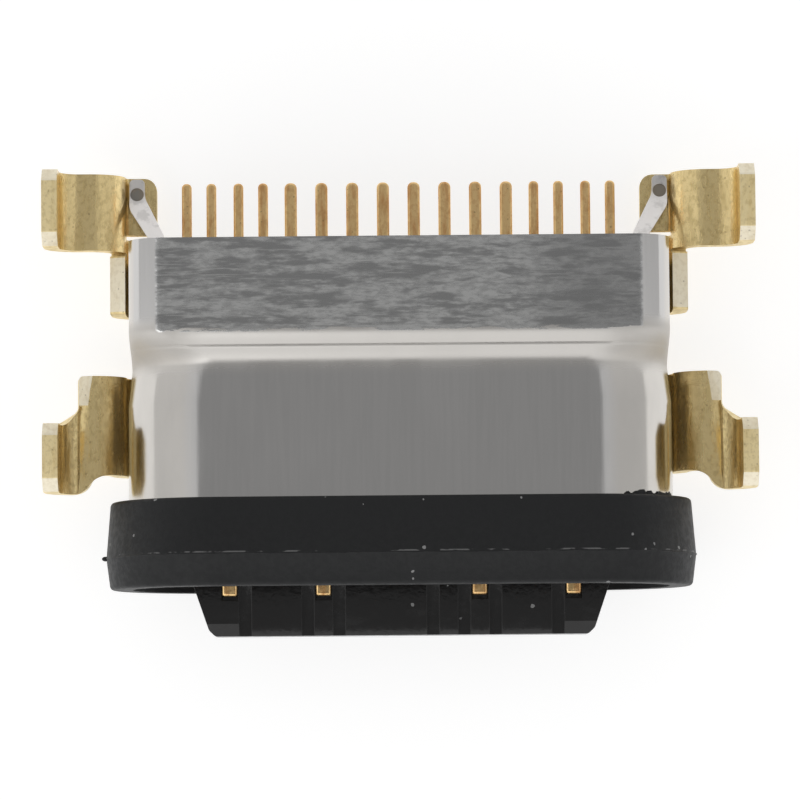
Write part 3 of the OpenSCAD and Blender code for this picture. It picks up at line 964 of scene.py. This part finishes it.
@dataclass
class Bracket:
    """The gold bracket: one flat blank that is folded into saddle, walls, legs and tabs.

    Its blank lies in the plane of the strip: the distance along the fold's
    centre line from the middle of the saddle, and the distance from the mouth.
    """

    gold: bpy.types.Material
    sheared: bpy.types.Material
    # Pale, near-white gold. Its paleness is a painted highlight on the pressed facets, the tip
    # chamfers and the wall-strip ends.
    pale_highlight_gold: bpy.types.Material
    sheet: float = 0.25 * MM
    saddle_z: float = -1.615 * MM
    wall_x: float = 4.575 * MM
    seat_z: float = -0.675 * MM
    leg_x: float = 5.615 * MM
    tip_z: float = 0.4 * MM
    saddle_bend: float = 0.47 * MM
    leg_bend: float = 0.455 * MM
    tab_bend: float = 0.175 * MM
    tab_inner_x: float = 3.96 * MM
    tab_split_y: float = 5.83 * MM
    tab_drop: float = 0.05 * MM
    tab_round: float = 0.2 * MM
    strip_range: Pair = (4.5 * MM, 5.51 * MM)
    strip_y: Pair = (4.52 * MM, 5.47 * MM)
    strip_top: float = -0.62 * MM
    strip_slant: float = 0.083 * MM
    chamfer: float = 0.2 * MM
    coin_x: float = 5.6 * MM
    coin_y: float = 3.03 * MM
    coin_slant: float = 0.13
    coin_fall: float = 0.4
    front_leg: Pair = (1.585 * MM, 2.695 * MM)
    rear_leg: Pair = (5.55 * MM, 6.8 * MM)
    saddle_y: Pair = (1.9 * MM, 5.43 * MM)
    joggle: Pair = (5.47 * MM, 5.68 * MM)
    joggle_round: float = 0.15 * MM
    shoulder: Pair = (6.07 * MM, 2.945 * MM)
    shoulder_round: float = 0.07 * MM
    free_edge: float = 5.763 * MM
    window_start: float = 3.51 * MM
    window_depth: float = 4.25 * MM
    window_round: float = 0.1 * MM
    corner_round: float = 0.03 * MM
    relief_y: Pair = (5.79 * MM, 5.87 * MM)
    relief_side: float = 0.01 * MM
    bend_step: float = math.radians(6.0)
    tab_steps: int = 8
    edge_round: float = 0.022 * MM

    def folds(self) -> list[Pair]:
        """Give the main strip's straight lengths and bends.

        Returns:
            Pairs of a length and a bend radius, which is 0 for a straight
            length, above 0 for a left turn and below 0 for a right turn.
        """
        saddle, leg = self.saddle_bend, self.leg_bend
        return [
            (self.wall_x - saddle, 0.0), (QUARTER * saddle, saddle),
            (self.seat_z - leg - self.saddle_z - saddle, 0.0), (QUARTER * leg, -leg),
            (self.leg_x - self.wall_x - 2.0 * leg, 0.0), (QUARTER * leg, leg),
            (self.tip_z - self.seat_z - leg, 0.0),
        ]

    def wall_folds(self) -> list[Pair]:
        """Give the lengths and bends of the saddle and the wall alone."""
        return self.folds()[:3]

    def foot(self) -> float:
        """Give the distance along the strip to the top of the wall."""
        return sum(length for length, _ in self.wall_folds())

    def tab_folds(self) -> list[Pair]:
        """Give the tab's lengths and bends, from the foot of the wall inwards."""
        reach = self.wall_x - self.tab_bend - self.tab_inner_x
        return [(self.tab_drop, 0.0), (QUARTER * self.tab_bend, -self.tab_bend), (reach, 0.0)]

    @staticmethod
    def walk(start: Vector, heading: float, folds: list[Pair],
             distance: float) -> tuple[Vector, float]:
        """Follow a folded line.

        Args:
            start: Where it starts, across and up.
            heading: Its first heading in radians.
            folds: Its lengths and bends.
            distance: How far to go.

        Returns:
            The place that is reached and the heading there.
        """
        place = start.copy()
        for length, radius in folds:
            part = max(min(distance, length), 0.0)
            distance -= part
            if radius:
                turn = part / radius
                place += radius * Vector((math.sin(heading + turn) - math.sin(heading),
                                          math.cos(heading) - math.cos(heading + turn)))
                heading += turn
            else:
                place += part * Vector((math.cos(heading), math.sin(heading)))
        return place + distance * Vector((math.cos(heading), math.sin(heading))), heading

    def fold(self, flat: Vector) -> Vector:
        """Move a point of the flat blank to its place in the folded bracket.

        Args:
            flat: Its distance along the strip, from the mouth and above the
                centre of the sheet.

        Returns:
            Its place.
        """
        folds = self.folds()
        foot = self.foot()
        along = abs(flat.x)
        if along < foot and flat.y > self.tab_split_y:
            top = Vector((self.wall_x, self.seat_z - self.leg_bend))
            place, heading = self.walk(top, -QUARTER, self.tab_folds(), foot - along)
            side = heading - QUARTER
        else:
            if along > foot and self.strip_range[0] < flat.y < self.strip_range[1]:
                folds = self.wall_folds()
            place, heading = self.walk(Vector((0.0, self.saddle_z)), 0.0, folds, along)
            side = heading + QUARTER
        place += flat.z * Vector((math.cos(side), math.sin(side)))
        return Vector((math.copysign(place.x, flat.x), flat.y, place.y))

    def outline(self) -> list[Triple]:
        """Give the right half of the blank.

        Returns:
            Its corners: along the strip, from the mouth, and their rounding.
        """
        foot = self.foot()
        tip = sum(length for length, _ in self.folds())
        tab = foot - sum(length for length, _ in self.tab_folds())
        strip = foot + self.strip_top - self.seat_z + self.leg_bend
        low = tip - 1.1 * self.chamfer
        corner, joggle, window = self.corner_round, self.joggle_round, self.window_round
        wall = foot + 2.0 * self.relief_side
        beside = foot + self.relief_side
        front, front_end = self.front_leg
        rear, rear_end = self.rear_leg
        relief, relief_end = self.relief_y
        saddle, saddle_end = self.saddle_y
        strip_start, strip_end = self.strip_y
        return [
            (0.0, saddle, 0.0), (self.joggle[0], saddle, joggle), (self.joggle[1], front, joggle),
            *self.leg_tip(low, tip, front, front_end),
            (self.shoulder[0], front_end, joggle),
            (self.free_edge, self.shoulder[1], self.shoulder_round),
            (self.free_edge, self.window_start, 0.08 * MM),
            (self.window_depth, self.window_start, window),
            (self.window_depth, strip_start, window), (strip, strip_start, 0.04 * MM),
            (strip, strip_end, corner), (wall, strip_end, 0.0), (wall, rear, 0.0),
            *self.leg_tip(low, tip, rear, rear_end),
            (tab, rear_end, self.tab_round), (tab, relief_end, 0.0), (beside, relief_end, 0.0),
            (beside, relief, 0.0), (self.tab_inner_x, relief, 0.0),
            (self.tab_inner_x, saddle_end, joggle), (0.0, saddle_end, 0.0),
        ]

    def leg_tip(self, low: float, tip: float, start: float, end: float) -> list[Triple]:
        """Give the chamfered tip of a leg.

        Args:
            low: Where the chamfers start along the strip.
            tip: Where the leg ends.
            start: The leg's front edge.
            end: Its rear edge.

        Returns:
            Its corners, as in the outline.
        """
        corner = self.corner_round
        return [(low, start, corner), (tip, start + self.chamfer, corner),
                (tip, end - self.chamfer, corner), (low, end, corner)]

    @staticmethod
    def score(mesh: bmesh.types.BMesh, place: Triple, normal: Triple) -> None:
        """Cut the blank's faces along a plane.

        Args:
            mesh: The blank.
            place: A point of the plane.
            normal: The plane's normal.
        """
        bmesh.ops.bisect_plane(mesh, geom=mesh.verts[:] + mesh.edges[:] + mesh.faces[:],
                               plane_co=place, plane_no=normal)

    def blank(self) -> bmesh.types.BMesh:
        """Cut the flat blank and score it where it will bend.

        Returns:
            The blank's bmesh, one face thick.
        """
        mesh = bmesh.new()
        half = self.outline()
        verts = [mesh.verts.new((x, y, -self.sheet / 2.0)) for x, y, _ in half]
        mesh.faces.new(verts)
        for vert, (_, _, radius) in zip(verts, half):
            if radius:
                bmesh.ops.bevel(mesh, geom=[vert], offset=radius, segments=5, profile=0.5,
                                affect="VERTICES", material=-1)
        place = 0.0
        foot = self.foot()
        scores = []
        for length, radius in self.folds():
            if radius:
                steps = math.ceil(length / abs(radius) / self.bend_step)
                scores += [place + length * step / steps for step in range(steps + 1)]
            place += length
        start = 0.0
        for length, radius in self.tab_folds():
            if radius:
                scores += [foot - start - length * step / self.tab_steps
                           for step in range(self.tab_steps + 1)]
            start += length
        for score in scores:
            self.score(mesh, (score, 0.0, 0.0), (1.0, 0.0, 0.0))
        self.score(mesh, (self.coin_x, self.coin_y, 0.0), (1.0, self.coin_slant, 0.0))
        self.score(mesh, (0.0, self.coin_y, 0.0), (0.0, 1.0, 0.0))
        whole = mesh.verts[:] + mesh.edges[:] + mesh.faces[:]
        copy = bmesh.ops.duplicate(mesh, geom=whole)["geom"]
        other_half = [item for item in copy if isinstance(item, bmesh.types.BMVert)]
        bmesh.ops.scale(mesh, verts=other_half, vec=(-1.0, 1.0, 1.0))
        bmesh.ops.remove_doubles(mesh, verts=mesh.verts, dist=MERGE)
        return mesh

    def build(self) -> bpy.types.Object:
        """Fold the bracket.

        Returns:
            The piece.
        """
        mesh = self.blank()
        bmesh.ops.recalc_face_normals(mesh, faces=mesh.faces)
        grown = bmesh.ops.extrude_face_region(mesh, geom=mesh.faces[:],
                                              use_keep_orig=True)["geom"]
        raised = [item for item in grown if isinstance(item, bmesh.types.BMVert)]
        bmesh.ops.translate(mesh, verts=raised, vec=(0.0, 0.0, self.sheet))
        for face in mesh.faces:
            face.material_index = self.slot_of(face)
        self.slant_strips(mesh)
        self.coin_corners(mesh)
        for vert in mesh.verts:
            vert.co = self.fold(vert.co)
        bmesh.ops.recalc_face_normals(mesh, faces=mesh.faces)
        piece = add_piece("bracket_folded", mesh, self.gold, sharp=35.0)
        piece.data.materials.append(self.sheared)
        # The third material is the pale gold whose paleness is a painted highlight.
        piece.data.materials.append(self.pale_highlight_gold)
        soften(piece, self.edge_round, 2, 40.0)
        weigh(piece)
        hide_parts("mounting_bracket")
        return piece

    def outside_coin(self, place: Vector) -> float:
        """Tell how far a point of the blank lies outside the pressed facets' inner edges.

        Args:
            place: The point.

        Returns:
            The distance, which is 0 anywhere else on the blank.
        """
        past_window = self.window_start + 0.09 * MM
        if not self.coin_y - MERGE < place.y < past_window:
            return 0.0
        inner = self.coin_x - self.coin_slant * (place.y - self.coin_y)
        return max(abs(place.x) - inner, 0.0)

    def coin_corners(self, mesh: bmesh.types.BMesh) -> None:
        """Press the facets down at the free corners behind the front legs.

        Args:
            mesh: The blank, with its thickness.
        """
        for vert in mesh.verts:
            if vert.co.z > 0.0:
                vert.co.z -= self.coin_fall * self.outside_coin(vert.co)

    def slot_of(self, face: bmesh.types.BMFace) -> int:
        """Choose a face's material while the blank is still flat.

        Args:
            face: A face of the blank.

        Returns:
            0 for the rolled faces, 1 for sheared edges, and 2 for the pale gold, a painted
            highlight, on the pressed facets, the chamfers of the tips and the ends of the wall
            strips.
        """
        strip_ends, tips_start = (4.6 * MM, 5.4 * MM), 6.7 * MM
        place = face.calc_center_median()
        if abs(face.normal.z) > 0.5:
            return 2 if place.z > 0.0 and self.outside_coin(place) > TOUCH else 0
        aslant = abs(face.normal.x) > 0.3 and abs(face.normal.y) > 0.3
        strip = strip_ends[0] < place.y < strip_ends[1] and abs(face.normal.x) > 0.9
        return 2 if strip or (aslant and abs(place.x) > tips_start) else 1

    def slant_strips(self, mesh: bmesh.types.BMesh) -> None:
        """Shear the upper edges of the plain wall strips aslant.

        Args:
            mesh: The blank, with its thickness.
        """
        upper = self.foot() + 0.3 * MM
        for vert in mesh.verts:
            strip = self.strip_range[0] < vert.co.y < self.strip_range[1]
            if strip and abs(vert.co.x) > upper and vert.co.z < 0.0:
                vert.co.x -= math.copysign(self.strip_slant, vert.co.x)


@dataclass
class Seal:
    """The moulded rubber ring round the mouth, with its parting line."""

    material: bpy.types.Material
    half_straight: float = 2.93 * MM
    bore: float = 1.49 * MM
    lip_bore: float = 1.38 * MM
    lip: float = 0.11 * MM
    front: float = 1.74 * MM
    ridge: float = 1.82 * MM
    rear: float = 1.73 * MM
    ridge_y: float = 0.5 * MM
    length: float = 1.4 * MM
    flash: float = 0.018 * MM
    edge_round: float = 0.06 * MM
    end_steps: int = 40
    straight_steps: int = 60
    nib_radius: float = 0.05 * MM
    nib_sink: float = 0.01 * MM
    nib_z: float = 0.2 * MM
    parting_seed: int = 7
    parting_uneven: float = 0.4
    parting_nicks: float = 0.3
    film_seed: int = 11
    film_angles: tuple[int, int, int] = (18, 64, 2)
    film_inset: float = 0.04 * MM
    film_gap: float = 0.005 * MM
    film_thickness: float = 0.014 * MM
    film_overlap: float = 0.05 * MM
    film_reach: Pair = (0.02, 0.09)

    def build(self) -> bpy.types.Object:
        """Build the ring.

        Returns:
            The piece.
        """
        mesh = bmesh.new()
        section = [
            (self.bore, self.lip), (self.lip_bore, self.lip), (self.lip_bore, 0.0),
            (self.front, 0.0), (self.ridge - self.flash, self.ridge_y - self.flash),
            (self.ridge, self.ridge_y), (self.ridge - self.flash, self.ridge_y + self.flash),
            (self.rear, self.length), (self.bore, self.length),
        ]
        loop = [mesh.verts.new((self.half_straight, y, z)) for z, y in section]
        for pair in zip(loop, loop[1:] + loop[:1]):
            mesh.edges.new(pair)
        bmesh.ops.bevel(mesh, geom=[loop[3], loop[7]], offset=self.edge_round, segments=4,
                        profile=0.5, affect="VERTICES", material=-1)
        profile = mesh.verts[:] + mesh.edges[:]
        for side in (1.0, -1.0):
            centre = side * self.half_straight
            profile = bmesh.ops.spin(mesh, geom=profile, cent=(centre, 0.0, 0.0),
                                     axis=(0.0, 1.0, 0.0), angle=math.pi,
                                     steps=self.end_steps)["geom_last"]
            span = -2.0 * centre / self.straight_steps
            for _ in range(self.straight_steps):
                edges = [e for e in profile if isinstance(e, bmesh.types.BMEdge)]
                grown = bmesh.ops.extrude_edge_only(mesh, edges=edges)["geom"]
                verts = [v for v in grown if isinstance(v, bmesh.types.BMVert)]
                bmesh.ops.translate(mesh, verts=verts, vec=(span, 0.0, 0.0))
                profile = verts + [e for e in grown if isinstance(e, bmesh.types.BMEdge)
                                   and all(v in verts for v in e.verts)]
        bmesh.ops.remove_doubles(mesh, verts=mesh.verts, dist=MERGE)
        bmesh.ops.recalc_face_normals(mesh, faces=mesh.faces)
        self.roughen_flash(mesh)
        self.add_nib(mesh)
        self.add_film(mesh)
        piece = add_piece("seal_moulded", mesh, self.material, sharp=60.0)
        weigh(piece)
        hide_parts("seal_ring")
        return piece

    def add_nib(self, mesh: bmesh.types.BMesh) -> None:
        """Add the torn nib of the moulding gate at the left end.

        Args:
            mesh: The ring's bmesh.
        """
        left = -self.half_straight - self.ridge + self.nib_sink
        place = Matrix.Translation((left, self.ridge_y, self.nib_z))
        bmesh.ops.create_icosphere(mesh, subdivisions=2, radius=self.nib_radius,
                                   matrix=place @ Matrix.Diagonal((1.2, 0.8, 1.0, 1.0)))

    def add_film(self, mesh: bmesh.types.BMesh) -> None:
        """Add the ragged film of flash that lies on the shell at the right rear.

        Args:
            mesh: The ring's bmesh.
        """
        chance = random.Random(self.film_seed)
        start, end, step = self.film_angles
        steps = (end - start) // step
        centre = Vector((self.half_straight - self.film_inset, 0.0, 0.0))
        low = self.bore + self.film_gap
        high = low + self.film_thickness
        back = self.length - self.film_overlap
        ring_verts, ring_faces = set(mesh.verts), set(mesh.faces)
        loop = [mesh.verts.new((centre.x + ring, y, 0.0)) for ring, y in
                ((low, back), (low, self.length), (high, self.length), (high, back))]
        edges = [mesh.edges.new(pair) for pair in zip(loop, loop[1:] + loop[:1])]
        bmesh.ops.rotate(mesh, verts=loop, cent=centre,
                         matrix=Matrix.Rotation(-math.radians(start), 3, "Y"))
        bmesh.ops.spin(mesh, geom=loop + edges, cent=centre, axis=(0.0, 1.0, 0.0),
                       angle=-math.radians(end - start), steps=steps)
        reach = [chance.uniform(*self.film_reach) * MM for _ in range(steps + 1)]
        for vert in mesh.verts:
            if vert not in ring_verts and vert.co.y > self.length - TOUCH:
                turn = math.degrees(math.atan2(vert.co.z, vert.co.x - centre.x))
                vert.co.y += reach[round((turn - start) / step)]
        film = [face for face in mesh.faces if face not in ring_faces]
        bmesh.ops.recalc_face_normals(mesh, faces=film)

    def roughen_flash(self, mesh: bmesh.types.BMesh) -> None:
        """Make the parting line uneven.

        Args:
            mesh: The ring's bmesh.
        """
        chance = random.Random(self.parting_seed)
        uneven = self.parting_uneven
        for vert in mesh.verts:
            if abs(vert.co.y - self.ridge_y) < self.flash / 4.0:
                vert.co.y += chance.uniform(-uneven, uneven) * self.flash
                if chance.random() < self.parting_nicks:
                    vert.co.z *= 1.0 - chance.uniform(0.0, uneven) * self.flash / self.ridge


def main() -> None:
    """Build the socket's looks around its CAD frame."""
    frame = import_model()
    nodes = frame["nodes"]
    Studio().build(min(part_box(n)[0].z for n in nodes))
    effects = Effects(build_streaks(), build_specks())
    steel = ShellSteel("shell_steel", (0.6, 0.59, 0.58), 0.12).build(effects)
    plate = Steel("plate_steel", (0.88, 0.85, 0.83), 0.34).build(effects)
    burnt = Steel("weld_burn", (0.34, 0.3, 0.25), 0.45, stain_amount=0.8).build(effects)
    gold = Gold("gold_bracket", (0.98, 0.775, 0.39), 0.2, tarnish_amount=0.3).build(effects)
    sheared = Gold("gold_sheared", (0.99, 0.83, 0.48), 0.5, tarnish_amount=0.35).build(effects)
    # Near-white gold. Its paleness is a painted highlight on the pressed facets, the tip chamfers
    # and the wall-strip ends.
    pale_highlight_gold = Gold("gold_pale_highlight", (1.0, 0.93, 0.76), 0.6, tarnish_amount=0.08,
                  mottle=0.12).build(effects)
    tails = Gold("gold_contact", (1.0, 0.7, 0.33), 0.3, tarnish=(0.62, 0.29, 0.1),
                 tarnish_amount=0.75, rolling=(1.6, 0.3, 1.0)).build(effects)
    # parting_y places the seal's painted glints along its parting line.
    rubber = Moulded("seal_rubber", (0.0085, 0.009, 0.0098), 0.55, specular=0.35,
                     parting_y=0.53 * MM, dust_share=0.09).build(effects)
    tongue = Moulded("tongue_plastic", (0.010, 0.0095, 0.0095), 0.2,
                     bloom_amount=0.5).build(effects)
    carrier = Moulded("carrier_plastic", (0.015, 0.015, 0.016), 0.35).build(effects)
    resin = Moulded("sealant_resin", (0.02, 0.02, 0.021), 0.3).build(effects)
    Shell(steel).build()
    Seal(rubber).build()
    Bracket(gold, sheared, pale_highlight_gold).build()
    stamped, moulded, cropped = 0.012 * MM, 0.01 * MM, 0.035 * MM
    look = {
        "mid_plate": (Slot.PLATE_STEEL, plate, stamped),
        "tongue_overmould": (Slot.TONGUE_PLASTIC, tongue, moulded),
        "upper_carrier": (Slot.CARRIER_PLASTIC, carrier, moulded),
        "lower_carrier": (Slot.CARRIER_PLASTIC, carrier, moulded),
        "rear_sealant": (Slot.SEALANT_RESIN, resin, moulded),
    }
    for name, node in sorted(nodes.items()):
        if name in ("shell", "seal_ring", "mounting_bracket"):
            continue
        slot, material, edge = look.get(name, (Slot.GOLD_CONTACT, tails, cropped))
        piece = dressed(node, material, edge)
        if name.startswith("contact"):
            piece.modifiers["rounded_edges"].use_clamp_overlap = False
            set_back(piece, CONTACT_SET_BACK)
        if name == "mid_plate":
            piece.data.materials.append(burnt)
            mark_welds(piece)


if __name__ == "__main__":
    main()
